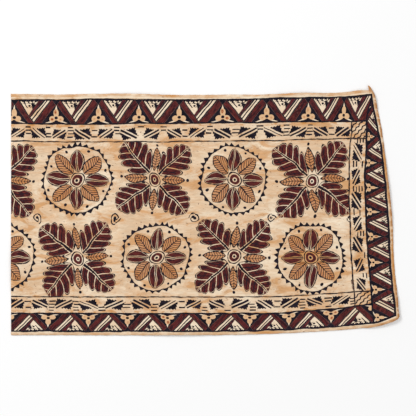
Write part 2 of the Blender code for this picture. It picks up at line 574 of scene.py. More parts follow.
class Graph:
    """Adds nodes to a node tree, sets them and joins them up."""

    def __init__(self, tree: bpy.types.NodeTree) -> None:
        """Keeps the tree."""
        self.tree = tree

    def add(self, kind: str, **settings: object) -> bpy.types.Node:
        """Adds a node, in rows of thirty.

        Args:
            kind: Blender's name of the node.
            settings: The node's own settings.

        Returns:
            The node.
        """
        count = len(self.tree.nodes)
        node = self.tree.nodes.new(kind)
        node.location = (190 * (count % 30), -320 * (count // 30))
        for name, value in settings.items():
            setattr(node, name, value)
        return node

    def feed(self, socket: bpy.types.NodeSocket, value: object) -> None:
        """Gives an input its value, or joins it to a signal or a socket.

        Args:
            socket: The input.
            value: A signal, an output socket, a number, or a vector or colour.
        """
        if isinstance(value, Signal):
            self.tree.links.new(value.socket, socket)
        elif isinstance(value, bpy.types.NodeSocket):
            self.tree.links.new(value, socket)
        else:
            socket.default_value = value

    def math(self, operation: str, *values: Number, clamp: bool = False) -> Signal:
        """Adds a Math node.

        Args:
            operation: What it does.
            values: Its inputs, in order.
            clamp: Whether the result is kept between nothing and one.

        Returns:
            The result.
        """
        node = self.add("ShaderNodeMath", operation=operation, use_clamp=clamp)
        for socket, value in zip(node.inputs, values):
            self.feed(socket, value)
        return Signal(self, node.outputs[0])

    def vector_math(self, operation: str, *values: object) -> bpy.types.NodeSocket:
        """Adds a Vector Math node.

        Args:
            operation: What it does.
            values: Its inputs, in order.

        Returns:
            The resulting vector.
        """
        node = self.add("ShaderNodeVectorMath", operation=operation)
        for socket, value in zip(node.inputs, values):
            self.feed(socket, value)
        return node.outputs[0]

    def split(self, vector: bpy.types.NodeSocket) -> Masks:
        """Takes a vector apart into its three numbers."""
        node = self.add("ShaderNodeSeparateXYZ")
        self.feed(node.inputs[0], vector)
        return tuple(Signal(self, output) for output in node.outputs)

    def join(self, x: Number, y: Number, z: Number = 0.0) -> bpy.types.NodeSocket:
        """Makes a vector of three numbers."""
        node = self.add("ShaderNodeCombineXYZ")
        for socket, value in zip(node.inputs, (x, y, z)):
            self.feed(socket, value)
        return node.outputs[0]

    def attribute(self, name: str) -> bpy.types.NodeSocket:
        """Reads a vector that the mesh carries."""
        node = self.add("ShaderNodeAttribute", attribute_name=name)
        return node.outputs["Vector"]

    def noise(self, place: bpy.types.NodeSocket, grain: Grain) -> bpy.types.Node:
        """Adds soft noise.

        Args:
            place: Where the surface is.
            grain: What the noise is like.

        Returns:
            The node, whose first output is the noise and second the same in three channels.
        """
        spread = self.add("ShaderNodeMapping")
        self.feed(spread.inputs["Vector"], place)
        spread.inputs["Scale"].default_value = tuple(1 / side for side in grain.size)
        spread.inputs["Location"].default_value = (grain.shift, grain.shift * 0.7, grain.shift * 0.3)
        node = self.add("ShaderNodeTexNoise", noise_dimensions="3D")
        self.feed(node.inputs["Vector"], spread.outputs[0])
        node.inputs["Scale"].default_value = 1.0
        node.inputs["Detail"].default_value = grain.detail
        node.inputs["Roughness"].default_value = grain.roughness
        node.inputs["Distortion"].default_value = grain.distortion
        return node

    def grain(self, place: bpy.types.NodeSocket, grain: Grain) -> Signal:
        """Adds soft noise and gives its level, which is about a half on average."""
        return Signal(self, self.noise(place, grain).outputs[0])

    def chance(self, *numbers: Number) -> Masks:
        """Gives three random numbers that stay the same for the same numbers."""
        node = self.add("ShaderNodeTexWhiteNoise", noise_dimensions="3D")
        self.feed(node.inputs["Vector"], self.join(*numbers))
        return self.split(node.outputs["Color"])

    def blend(self, share: Number, first: object, second: object, kind: str = "RGBA") -> bpy.types.NodeSocket:
        """Mixes two colours or vectors.

        Args:
            share: How much of the second there is.
            first: The first colour or vector.
            second: The second one.
            kind: RGBA or VECTOR.

        Returns:
            The mixture.
        """
        node = self.add("ShaderNodeMix", data_type=kind)
        first_input = 6 if kind == "RGBA" else 4
        self.feed(node.inputs[0], share)
        self.feed(node.inputs[first_input], first)
        self.feed(node.inputs[first_input + 1], second)
        return node.outputs[2 if kind == "RGBA" else 1]

    def tone(self, colour: object, level: Number) -> bpy.types.NodeSocket:
        """Makes a colour lighter or darker by a factor."""
        node = self.add("ShaderNodeVectorMath", operation="SCALE")
        self.feed(node.inputs[0], colour if isinstance(colour, bpy.types.NodeSocket) else colour[:3])
        self.feed(node.inputs["Scale"], level)
        return node.outputs[0]

    def disc(self, x: Signal, y: Signal, shape: Disc, soft: float) -> Signal:
        """Makes the mask of a disc or an ellipse.

        Args:
            x: The first coordinate.
            y: The second one.
            shape: Its centre and half sizes.
            soft: The width of the mask's edge.

        Returns:
            The mask.
        """
        across = x.scaled(shape.at[0], shape.half[0])
        up = y.scaled(shape.at[1], shape.half[1])
        reach = self.math("SQRT", across.times_add(across, up * up))
        return reach.below(1.0, soft / min(shape.half))

    def place_group(self, group: PatternGroup, **values: object) -> Sockets:
        """Places a node group and joins up its inputs.

        Args:
            group: The group.
            values: What goes into its inputs, by name.

        Returns:
            Its outputs by name.
        """
        node = self.add("ShaderNodeGroup")
        node.node_tree = group.tree()
        for name, value in values.items():
            self.feed(node.inputs[name], value)
        return {output.name: output for output in node.outputs}

    def place_masks(self, group: PatternGroup, **values: object) -> dict[str, Signal]:
        """Places a node group whose outputs are all numbers, and gives them as signals."""
        return {name: Signal(self, socket) for name, socket in self.place_group(group, **values).items()}


class Socket(NamedTuple):
    """One input or output of a node group: its name, its kind, and an input's value at the start."""

    name: str
    kind: str = "NodeSocketFloat"
    value: float | tuple[float, ...] | None = None


class PatternGroup:
    """A shader node group with named inputs and outputs, built once and placed wherever it is used."""

    name = "pattern"
    inputs: tuple[Socket, ...] = ()
    outputs: tuple[Socket, ...] = ()

    def tree(self) -> bpy.types.NodeTree:
        """Gives the group's node tree, which is built at the first call.

        Returns:
            The node tree.
        """
        if self.name in bpy.data.node_groups:
            return bpy.data.node_groups[self.name]
        tree = bpy.data.node_groups.new(self.name, "ShaderNodeTree")
        for socket in self.inputs:
            made = tree.interface.new_socket(name=socket.name, in_out="INPUT", socket_type=socket.kind)
            if socket.value is not None:
                made.default_value = socket.value
        for socket in self.outputs:
            tree.interface.new_socket(name=socket.name, in_out="OUTPUT", socket_type=socket.kind)
        graph = Graph(tree)
        entry = graph.add("NodeGroupInput")
        results = self.draw(graph, {output.name: output for output in entry.outputs if output.name})
        leave = graph.add("NodeGroupOutput")
        for name, value in results.items():
            graph.feed(leave.inputs[name], value)
        LOG.info("node group %s: %d nodes", self.name, len(tree.nodes))
        return tree

    def draw(self, graph: Graph, given: Sockets) -> dict[str, object]:
        """Adds the group's nodes.

        Args:
            graph: The group's graph.
            given: The group's inputs by name.

        Returns:
            What goes to each output.
        """
        raise NotImplementedError


@dataclass(frozen=True)
class Palette:
    """The colours of the bark and of its paints, as they are seen in plain light."""

    bark_light: Colour = seen(241, 223, 197)
    bark_mid: Colour = seen(228, 199, 166)
    bark_tan: Colour = seen(203, 159, 115)
    bark_pale: Colour = seen(245, 228, 202)
    rust_stain: Colour = seen(200, 138, 72)
    speck: Colour = seen(110, 66, 44)
    hem_edge: Colour = seen(172, 116, 66)
    back: Colour = seen(205, 166, 122)
    soot: Colour = seen(14, 9, 20)
    soot_worn: Colour = seen(42, 32, 44)
    brown: Colour = seen(82, 31, 33)
    brown_dark: Colour = seen(40, 16, 24)
    brown_red: Colour = seen(124, 50, 36)
    plum: Colour = seen(76, 28, 44)
    ochre: Colour = seen(212, 146, 84)
    ochre_dark: Colour = seen(168, 92, 46)
    blush: Colour = seen(158, 78, 40)
    petal: Colour = seen(214, 164, 112)


PALETTE = Palette()


class BeatenBark(PatternGroup):
    """Beaten bark: mottled, with streaks and fine fibres along the cloth, a few dark specks, and painted
    crinkle light and shade.
    """

    name = "beaten_bark"
    inputs = (Socket("Place", "NodeSocketVector"), Socket("Warmth", value=0.0))
    outputs = (Socket("Colour", "NodeSocketColor"), Socket("Height"), Socket("Roughness"))
    broad = Grain((0.120, 0.050, 0.05), detail=3.0, roughness=0.55)
    streak = Grain((0.034, 0.0070, 0.02), detail=3.0, roughness=0.6, shift=4.0, distortion=0.5)
    fibre = Grain((0.016, 0.0018, 0.01), detail=2.0, roughness=0.6, shift=9.0)
    rust = Grain((0.085, 0.034, 0.05), detail=5.0, roughness=0.6, shift=15.0, distortion=0.9)
    fleck = Grain((0.0062, 0.0040, 0.01), detail=1.0, shift=21.0)
    crumple = Grain((0.026, 0.0095, 0.01), detail=2.0, roughness=0.6, shift=26.0, distortion=1.2)

    def draw(self, graph: Graph, given: Sockets) -> dict[str, object]:
        """Adds the bark's layers, from broad patches to fibres."""
        place = given["Place"]
        warmth = Signal(graph, given["Warmth"])
        broad = graph.grain(place, self.broad)
        streak = graph.grain(place, self.streak)
        fibre = graph.grain(place, self.fibre)
        rust = graph.grain(place, self.rust)
        fleck = graph.grain(place, self.fleck)
        crumple = graph.grain(place, self.crumple)
        pale_share = broad.times_add(0.50, streak * 0.50).above(0.47, 0.22)
        colour = graph.blend(pale_share, PALETTE.bark_mid, PALETTE.bark_light)
        tan_share = streak.times_add(0.60, broad * -0.40).times_add(1.0, warmth * 0.5).above(0.15, 0.16)
        colour = graph.blend(tan_share * 0.60, colour, PALETTE.bark_tan)
        rusty = rust.times_add(1.0, warmth * 0.25)
        tide = (rusty - 0.545).band(0.012, 0.022)
        rust_share = rusty.above(0.590, 0.08).times_add(0.66, tide * 0.32)
        colour = graph.blend(rust_share, colour, PALETTE.rust_stain)
        # Painted light and shade: the crumple noise that lifts the bump also lightens the raised crinkles.
        # The streaks that lift it tone the colour too, partly as the bark's own streaks and partly as painted
        # shade of their ridges.
        crinkle_highlight = crumple.above(0.50, 0.22)
        level = streak.times_add(0.30, crinkle_highlight.times_add(0.09, fibre.times_add(0.30, 0.67)))
        colour = graph.tone(colour, level)
        speck_share = fleck.above(0.735, 0.04)
        colour = graph.blend(speck_share * 0.75, colour, PALETTE.speck)
        height = streak.times_add(0.70, crumple * 0.55)
        roughness = fibre.times_add(0.16, 0.80)
        return {"Colour": colour, "Height": height, "Roughness": roughness}


class BrushWash(PatternGroup):
    """How strong a brushed paint is: streaks that run with the brush, dry ends, and soft pools."""

    name = "brush_wash"
    inputs = (Socket("Place", "NodeSocketVector"), Socket("Turn"))
    outputs = (Socket("Pool"), Socket("Streak"), Socket("Dry"))
    pool = Grain((0.017, 0.0052, 0.02), detail=3.0, roughness=0.6, shift=31.0)
    streak = Grain((0.020, 0.0016, 0.02), detail=2.0, roughness=0.6, shift=37.0)
    dry = Grain((0.0085, 0.0026, 0.01), detail=2.0, roughness=0.7, shift=43.0)

    def draw(self, graph: Graph, given: Sockets) -> dict[str, object]:
        """Adds the wash's pools, streaks and dry patches, turned to the brush."""
        turned = graph.add("ShaderNodeVectorRotate", rotation_type="Z_AXIS")
        graph.feed(turned.inputs["Vector"], given["Place"])
        graph.feed(turned.inputs["Angle"], given["Turn"])
        along = turned.outputs[0]
        pool = graph.grain(along, self.pool)
        streak = graph.grain(along, self.streak)
        dry = graph.grain(along, self.dry)
        return {"Pool": pool.above(0.52, 0.16), "Streak": streak.above(0.5, 0.34), "Dry": dry}


class TriangleFrieze(PatternGroup):
    """The painted frieze. Upright triangles hold a trefoil on black, and the others barred leaves.

    Run counts the repeats along the frieze, whole where two brown bands meet at its inner line. Height goes
    from nothing at the inner line to one at the outer line. Snug is one where the repeats are short, so that
    their lines stay as wide as elsewhere and what they leave bare is smaller.
    """

    name = "triangle_frieze"
    inputs = (Socket("Run"), Socket("Height"), Socket("Snug"))
    outputs = (Socket("Black"), Socket("Bare"), Socket("Plum"), Socket("Blush"), Socket("Lean"))
    aspect = FRIEZE_REPEAT / FRIEZE_HEIGHT
    apex = 0.528
    slope = 0.435
    teeth = 9.0
    soft = 0.0045
    blur = 0.04
    top_petal = Disc((0.0, 0.455), (0.108, 0.175))
    side_petal = Disc((0.158, 0.210), (0.132, 0.124))
    core = Disc((0.0, 0.27), (0.118, 0.118))
    core_eye = Disc((0.0, 0.255), (0.070, 0.064))
    top_blush = Disc((-0.020, 0.50), (0.055, 0.095))
    side_blush = Disc((0.0, 0.200), (0.070, 0.060))
    small_blush = Disc((0.0, 0.190), (0.060, 0.045))
    lobe = Disc((0.055, 0.885), (0.090, 0.080))
    tooth = Disc((0.0, 0.900), (0.070, 0.050))
    leaf_eye = Disc((-0.185, 0.745), (0.048, 0.045))
    leaf_ring = Disc((-0.185, 0.755), (0.098, 0.088))
    upper_dot = Disc((0.022, 0.935), (0.036, 0.026))
    lower_dot = Disc((-0.058, 0.855), (0.034, 0.022))
    curl = Disc((0.060, 0.925), (0.042, 0.036))

    def draw(self, graph: Graph, given: Sockets) -> dict[str, object]:
        """Adds the trefoil, then the barred leaves of the other triangle, and lays them over each other."""
        run = Signal(graph, given["Run"])
        height = Signal(graph, given["Height"])
        snug = Signal(graph, given["Snug"])
        black_tree, bare_tree, blush = self.trefoil(graph, run, height, snug)
        black_vee, bare_vee, plum = self.barred_leaves(graph, run, height, snug)
        side = (run.fract() - self.apex).above(0.0, 0.01)
        return {
            "Black": black_tree.most(black_vee),
            "Bare": bare_tree.most(bare_vee),
            "Plum": plum,
            "Blush": blush,
            "Lean": side.times_add(1.90, -0.95),
        }

    def trefoil(self, graph: Graph, run: Signal, height: Signal, snug: Signal) -> Masks:
        """Draws the upright triangle: black ground, a trefoil with an eye, a spike and two tails.

        Args:
            graph: The group's graph.
            run: The count of repeats.
            height: The height over the inner line.
            snug: One where the repeats are short.

        Returns:
            The black, the bare bark, and the blush inside the petals.
        """
        off = run.fract() - self.apex
        wide = abs(off)
        luck, luck_two, luck_three = graph.chance(run.floor(), 3.0, 0.0)
        ground = (height.times_add(-self.slope, 0.358) - wide).above(0.0, self.soft)
        cap = (height.times_add(0.42, -0.320) - wide).above(0.0, self.soft)
        across = off * snug.times_add(0.26, self.aspect)
        aside = abs(across)
        height = height * snug.times_add(0.20, 1.0)
        petals = graph.disc(across, height, self.top_petal, self.soft)
        petals = petals.most(graph.disc(aside, height, self.side_petal, self.soft))
        petals = petals.most(graph.disc(aside, height, self.core, self.soft))
        spike = (height.times_add(-0.26, 0.205) - aside).above(0.0, self.soft).least(height.above(0.5, 0.02))
        tail_width = aside.times_add(-0.085, 0.050)
        tail = (tail_width - abs(height + aside.times_add(0.30, -0.160))).above(0.0, self.soft)
        tail = tail.least(aside.within(0.15, 0.50, 0.02))
        bare = petals.most(spike).most(tail)
        notch = (height.times_add(-0.75, 0.080) - aside).above(0.0, self.soft)
        eye = graph.disc(aside, height, self.core_eye, self.soft)
        bare = bare.without(notch.most(eye)).least(ground)
        heart = graph.disc(across, height, self.top_blush, self.blur)
        cheek_side = luck.above(0.5, 0.01).times_add(0.34, -0.17)
        cheek = graph.disc(across - cheek_side, height, self.side_blush, 0.05)
        other = graph.disc(across + cheek_side, height, self.small_blush, 0.05)
        blush = heart.most(cheek).most(other * luck_three.above(0.35, 0.3)) * luck_two.times_add(0.7, 0.30)
        return ground.most(cap).without(bare), bare, blush.most(petals * 0.30).least(bare)

    def barred_leaves(self, graph: Graph, run: Signal, height: Signal, snug: Signal) -> Masks:
        """Draws the other triangle: two bare bars and a plum band on one side, a curled leaf on the other.

        Args:
            graph: The group's graph.
            run: The count of repeats.
            height: The height over the inner line.
            snug: One where the repeats are short.

        Returns:
            The black, the bare bark, and the plum band.
        """
        soft = self.soft
        off = (run + 0.45).fract() - 0.45
        rising = height.times_add(self.slope, -0.012) - off
        falling = off + height * 0.39
        inside = rising.above(0.0, soft).least(falling.above(0.0, soft))
        clear = (falling - snug * 0.020).above(0.030, soft)
        bar = (rising - snug * 0.010).above(0.036, soft).least((rising - snug * 0.026).below(0.090, soft))
        second_edge = height.times_add(-0.036, snug.times_add(0.046, 0.182))
        second = (rising - snug * 0.038).above(0.124, soft).least(rising.below(second_edge, soft))
        bars = bar.most(second).least(clear)
        band_edge = height.times_add(0.085, snug.times_add(0.040, 0.218))
        band = (rising - snug * 0.056).above(0.200, soft).least(rising.below(band_edge, soft)).least(clear)
        beyond = rising.above(band_edge + 0.010, soft).least(clear)

        across = off * self.aspect
        sway = ((height - 0.30) * 7.0).sine() * 0.022
        leaf = (off - sway + snug * 0.020).below(-0.052, soft).least(height.below(0.850, 0.02))
        lobe = graph.disc(across, height, self.lobe, soft)
        comb = ((off * self.teeth + 0.15).fract() - 0.5) * (self.aspect / self.teeth)
        tooth = graph.disc(comb, height, self.tooth, soft)
        tooth = tooth.least(off.below(-0.04, soft))
        bare = leaf.most(lobe).most(tooth)
        eye = graph.disc(across, height, self.leaf_eye, soft)
        ring = (graph.disc(across, height, self.leaf_ring, self.blur) - 0.5).band(0.20, 0.1)
        ring = ring.least(across.above(-0.17, 0.01))
        dots = graph.disc(comb, height, self.upper_dot, soft)
        dots = dots.most(graph.disc(comb, height, self.lower_dot, soft))
        curl = graph.disc(across, height, self.curl, soft)
        slit = (falling - 0.104).band(0.013, soft).least(height.above(0.66, 0.02))
        cut = eye.most(ring).most(dots).most(curl).most(slit)
        bare = bare.without(cut).least(beyond).least(height.below(0.955, 0.012))
        bare_all = bare.most(bars)
        return inside.without(bare_all.most(band)), bare_all, band


class SlantedLeaves(PatternGroup):
    """The inner band: slanted leaf pairs that lean by turns to and fro, with short dashes between them.

    Run counts the leaves, Height goes from nothing at the thin line to one at the inner line, and Lean is
    above nothing where a leaf rises along the run.
    """

    name = "slanted_leaves"
    inputs = (Socket("Run"), Socket("Height"), Socket("Lean"))
    outputs = (Socket("Black"),)
    heel = 0.0235
    point = 0.0130
    soft = 0.0005

    def draw(self, graph: Graph, given: Sockets) -> dict[str, object]:
        """Adds the leaf pair, which looks the same turned half round, and then the dashes."""
        soft = self.soft
        run = Signal(graph, given["Run"])
        height = Signal(graph, given["Height"])
        lean = Signal(graph, given["Lean"]).above(0.0, 0.01).times_add(2.0, -1.0)
        number = run.nearest()
        luck, luck_two, luck_three = graph.chance(number, 7.0, 0.0)
        scale = luck_two.times_add(-0.18, 1.02)
        off = (run - number) * lean * scale * LEAF_REPEAT
        up = height.times_add(LEAF_BAND_HEIGHT, luck_three.times_add(0.003, -0.0205)) * scale
        tilt = luck.times_add(0.16, 0.42)
        cos, sin = tilt.cosine(), tilt.sine()
        along = off * cos + up * sin
        across = up * cos - off * sin
        turn = across.above(0.0, 0.0001).times_add(2.0, -1.0)
        reach = along * turn
        far = abs(across)
        vein_half = luck_three.times_add(0.0018, 0.0007)
        vein = far.below(vein_half, soft).least(along.band(luck.times_add(-0.003, 0.0205), 0.002))
        saw = (reach * 210.0).from_half() * 0.0058
        base = luck_three.times_add(0.0012, 0.0040)
        height_left = base - far
        rise = (reach + self.heel) * 0.98 - saw
        fall = (reach - self.point) * -0.88 - saw
        bow = (reach + self.heel) * (reach - self.point) * 8.0
        blade = height_left.below(0.0, soft)
        blade = blade.least((rise + bow + height_left).above(0.0, soft))
        blade = blade.least((fall + bow + height_left).above(0.0, soft))
        blade = blade.least(up.band(0.0155, soft))

        gap = (run.fract() - 0.5) * LEAF_REPEAT
        row = height * 5.6
        _, skip, shift = graph.chance(run.floor(), row.floor(), 1.0)
        stroke = row.from_half().below(shift.times_add(0.09, 0.17), 0.06)
        beside = gap + shift.times_add(0.004, -0.002)
        dash = stroke.least(beside.band(skip.times_add(0.003, 0.0055), 0.0010))
        dash = dash.least(height.within(0.19, 0.87, 0.01)).least(skip.above(0.24, 0.01))
        return {"Black": vein.most(blade).most(dash)}


class ZigzagBlock(PatternGroup):
    """A corner block: zigzag lines on the slant.

    Across and Up go from nothing to one over the block, and Lean is one or minus one, for the way they slant.
    """

    name = "zigzag_block"
    inputs = (Socket("Across"), Socket("Up"), Socket("Lean", value=1.0))
    outputs = (Socket("Black"),)

    def draw(self, graph: Graph, given: Sockets) -> dict[str, object]:
        """Adds the zigzag lines."""
        across = Signal(graph, given["Across"])
        up = Signal(graph, given["Up"]) * Signal(graph, given["Lean"])
        ripple = ((across + up) * 2.1).from_half() * 0.66
        count = (across - up).times_add(2.7, ripple)
        return {"Black": (count + 0.1).from_half().below(0.165, 0.05)}


class LeafGarden(PatternGroup):
    """The field: squares of lobed leaves set crosswise, by turns with eight-petalled stars in a toothed ring.

    Place is where the paint is, in metres. The squares are ones of a plain chequer, each moved, turned and
    sized a little differently, as a hand repeats them.
    """

    name = "leaf_garden"
    inputs = (Socket("Place", "NodeSocketVector"),)
    outputs = (Socket("Black"), Socket("Brown"), Socket("Ochre"), Socket("Lean"))
    square = 0.195
    start_x = 0.169
    start_y = -0.020
    leaf_start, leaf_length = 0.020, 0.101
    slim_start, slim_length = 0.022, 0.058
    petal_start, petal_length = 0.019, 0.058
    eye_ring = 0.0162
    rim = 0.0838
    knot_ring = 0.0092
    knot_dot = 0.0042
    leaf_berry = Disc((0.0862, 0.0), (0.0036, 0.0036))
    petal_berry = Disc((0.0680, 0.0282), (0.0036, 0.0036))
    stray = Grain((0.060, 0.060, 0.05), detail=1.0, shift=90.0)
    pressure = Grain((0.008, 0.008, 0.01), detail=1.0, shift=95.0)
    soft = 0.0005

    def draw(self, graph: Graph, given: Sockets) -> dict[str, object]:
        """Finds the square and its own coordinates, draws both motifs, and keeps the one that it holds."""
        drift = graph.noise(given["Place"], self.stray).outputs[1]
        drift = graph.vector_math("MULTIPLY_ADD", drift, (0.020,) * 3, (-0.010,) * 3)
        x, y, _ = graph.split(graph.vector_math("ADD", given["Place"], drift))
        count_x = x.scaled(self.start_x, self.square)
        count_y = y.scaled(self.start_y, self.square)
        column, row = count_x.floor(), count_y.floor()
        luck, luck_two, luck_three = graph.chance(column, row, 5.0)
        from_x = (count_x - column - 0.5).times_add(self.square, luck_three.times_add(0.006, -0.003))
        from_y = (count_y - row - 0.5).times_add(self.square, luck.times_add(0.006, -0.003))
        angle = luck.times_add(0.20, -0.10)
        size = luck_two.times_add(0.07, 0.95)
        cos, sin = angle.cosine() * size, angle.sine() * size
        across = from_x * cos + from_y * sin
        up = from_y * cos - from_x * sin
        middle = graph.math("SQRT", across.times_add(across, up * up))
        turns = graph.math("ARCTAN2", up, across) * (4 / math.pi)
        starry = ((column + row) * 0.5).fract().above(0.25, 0.01)
        stroke = graph.grain(given["Place"], self.pressure).times_add(0.0030, -0.0002)

        cross = self.leaf_cross(graph, across, up, middle, stroke)
        star = self.star(graph, turns, middle, stroke)
        knot = self.knot(graph, from_x, from_y, stroke) * (y - self.start_y).band(0.060, 0.01)
        leafy = starry.inverse()
        black, brown, ochre = (leaf * leafy + petal * starry for leaf, petal in zip(cross, star))
        return {
            "Black": black.most(knot),
            "Brown": brown,
            "Ochre": ochre,
            "Lean": turns.nearest() * (-math.pi / 4),
        }

    def leaf_cross(
        self, graph: Graph, across: Signal, up: Signal, middle: Signal, stroke: Signal
    ) -> Masks:
        """Draws four lobed leaves on the slant, four slim petals on the level, and an eye.

        Args:
            graph: The group's graph.
            across: The distance across from the middle of the square.
            up: The distance up from it.
            middle: The straight distance from it.
            stroke: Half the width of the brush's line, which changes with the hand's pressure.

        Returns:
            The black, the brown and the ochre.
        """
        soft = self.soft
        wide, tall = abs(across), abs(up)
        reach = (wide + tall) * 0.7071
        aside = abs(wide - tall) * 0.7071
        along = reach.scaled(self.leaf_start, self.leaf_length)
        inside = along.within(0.0, 1.0, 0.01)
        lobes = along.times_add(4.6, aside * -34.0)
        swell = abs((lobes * math.pi).sine()) ** 0.55
        belly = (along * along.inverse()).most(0.0) ** 0.62
        depth = belly * swell.times_add(0.036, 0.056) - aside
        outline = depth.band(stroke, soft)
        rib = aside.below(along.times_add(-0.0020, 0.0028), soft)
        rib_gap = aside.below(along.times_add(-0.0022, 0.0044), soft)
        parting = lobes.from_half()
        vein = parting.below(0.050, 0.02).least(depth.above(0.0075, 0.002))
        fill = depth.above(stroke + 0.0011, soft).without(rib_gap.most(parting.above(0.445, 0.02)))

        far, near = wide.most(tall), wide.least(tall)
        slim = far.scaled(self.slim_start, self.slim_length)
        slim_in = slim.within(0.0, 1.0, 0.01)
        slim_depth = (slim * slim.inverse()) * 0.042 - near
        notches = (far * 150.0 - near * 90.0).from_half().below(0.13, 0.05)
        notches = notches.least(slim_depth.above(0.0, soft))
        slim_line = slim_depth.band(stroke, soft).most(near.below(0.0007, soft)).most(notches).least(slim_in)
        slim_fill = slim_depth.above(0.0, soft).least(slim_in)
        berry = graph.disc(far, near, self.leaf_berry, soft)

        ring = (middle - self.eye_ring).band(stroke, soft)
        eye = middle.below(0.0122, soft).without(middle.below(0.0052, soft))
        pip = middle.below(0.0028, soft)
        black = outline.most(rib).most(vein).least(inside).most(slim_line).most(berry).most(ring).most(pip)
        return black, fill.least(inside).most(eye), slim_fill

    def star(
        self, graph: Graph, turns: Signal, middle: Signal, stroke: Signal
    ) -> Masks:
        """Draws eight petals round an eye, by turns brown and hatched ochre, inside a ring of teeth.

        Args:
            graph: The group's graph.
            turns: The angle round the middle of the square, in eighths of a turn.
            middle: The distance from it.
            stroke: Half the width of the brush's line, which changes with the hand's pressure.

        Returns:
            The black, the brown and the ochre.
        """
        soft = self.soft
        number = turns.nearest()
        angle = (turns - number) * (math.pi / 4)
        reach = middle * angle.cosine()
        aside = abs(middle * angle.sine())
        odd = (number * 0.5).fract().above(0.25, 0.01)
        along = reach.scaled(self.petal_start, self.petal_length)
        inside = along.within(0.0, 1.0, 0.01)
        depth = (along * along.inverse()).most(0.0) ** 0.70 * 0.045 - aside
        outline = depth.band(stroke, soft)
        rib = aside.below(along.times_add(-0.0010, 0.0016), soft)
        rib_gap = aside.below(along.times_add(-0.0012, 0.0030), soft)
        fill = depth.above(stroke + 0.0010, soft).without(rib_gap).least(inside).without(odd)
        hatch = reach.times_add(150.0, aside * -120.0).from_half().below(0.15, 0.05)
        ochre = depth.above(0.0, soft).least(inside).least(odd)
        black = outline.most(rib).least(inside).most(hatch.least(ochre))

        black = black.most(graph.disc(reach, aside, self.petal_berry, soft))
        black = black.most((middle - self.eye_ring).band(stroke, soft)).most(middle.below(0.0030, soft))
        eye = middle.below(0.0120, soft).without(middle.below(0.0055, soft))
        past_rim = middle - self.rim
        tooth = (turns * 4.5).from_half().times_add(-0.0175, 0.0086) - past_rim
        teeth = tooth.above(0.0, soft).least(past_rim.above(0.0, soft))
        rims = past_rim.band(stroke, soft)
        return black.most(teeth).most(rims), fill.most(eye), ochre

    def knot(self, graph: Graph, from_x: Signal, from_y: Signal, stroke: Signal) -> Signal:
        """Draws a ringed dot where four squares meet.

        Args:
            graph: The group's graph.
            from_x: The distance across from the middle of the square.
            from_y: The distance up from it.
            stroke: Half the width of the brush's line, which changes with the hand's pressure.

        Returns:
            The black.
        """
        wide = self.square / 2 - abs(from_x)
        tall = self.square / 2 - abs(from_y)
        middle = graph.math("SQRT", wide.times_add(wide, tall * tall))
        return (middle - self.knot_ring).band(stroke, self.soft).most(middle.below(self.knot_dot, self.soft))


class HandWobble(PatternGroup):
    """How far a painting hand strays: slow drift and a little shake, in metres, each way."""

    name = "hand_wobble"
    inputs = (Socket("Place", "NodeSocketVector"),)
    outputs = (Socket("Shift", "NodeSocketVector"),)
    drift = Grain((0.034, 0.034, 0.05), detail=1.0, shift=52.0)
    shake = Grain((0.0042, 0.0042, 0.01), detail=1.0, shift=61.0)
    drift_reach = 0.0046
    shake_reach = 0.0012

    def draw(self, graph: Graph, given: Sockets) -> dict[str, object]:
        """Adds the drift and the shake."""
        place = given["Place"]
        drift = graph.noise(place, self.drift).outputs[1]
        shake = graph.noise(place, self.shake).outputs[1]
        back = (-self.drift_reach / 2,) * 3
        drift = graph.vector_math("MULTIPLY_ADD", drift, (self.drift_reach,) * 3, back)
        return {"Shift": graph.vector_math("MULTIPLY_ADD", shake, (self.shake_reach,) * 3, drift)}


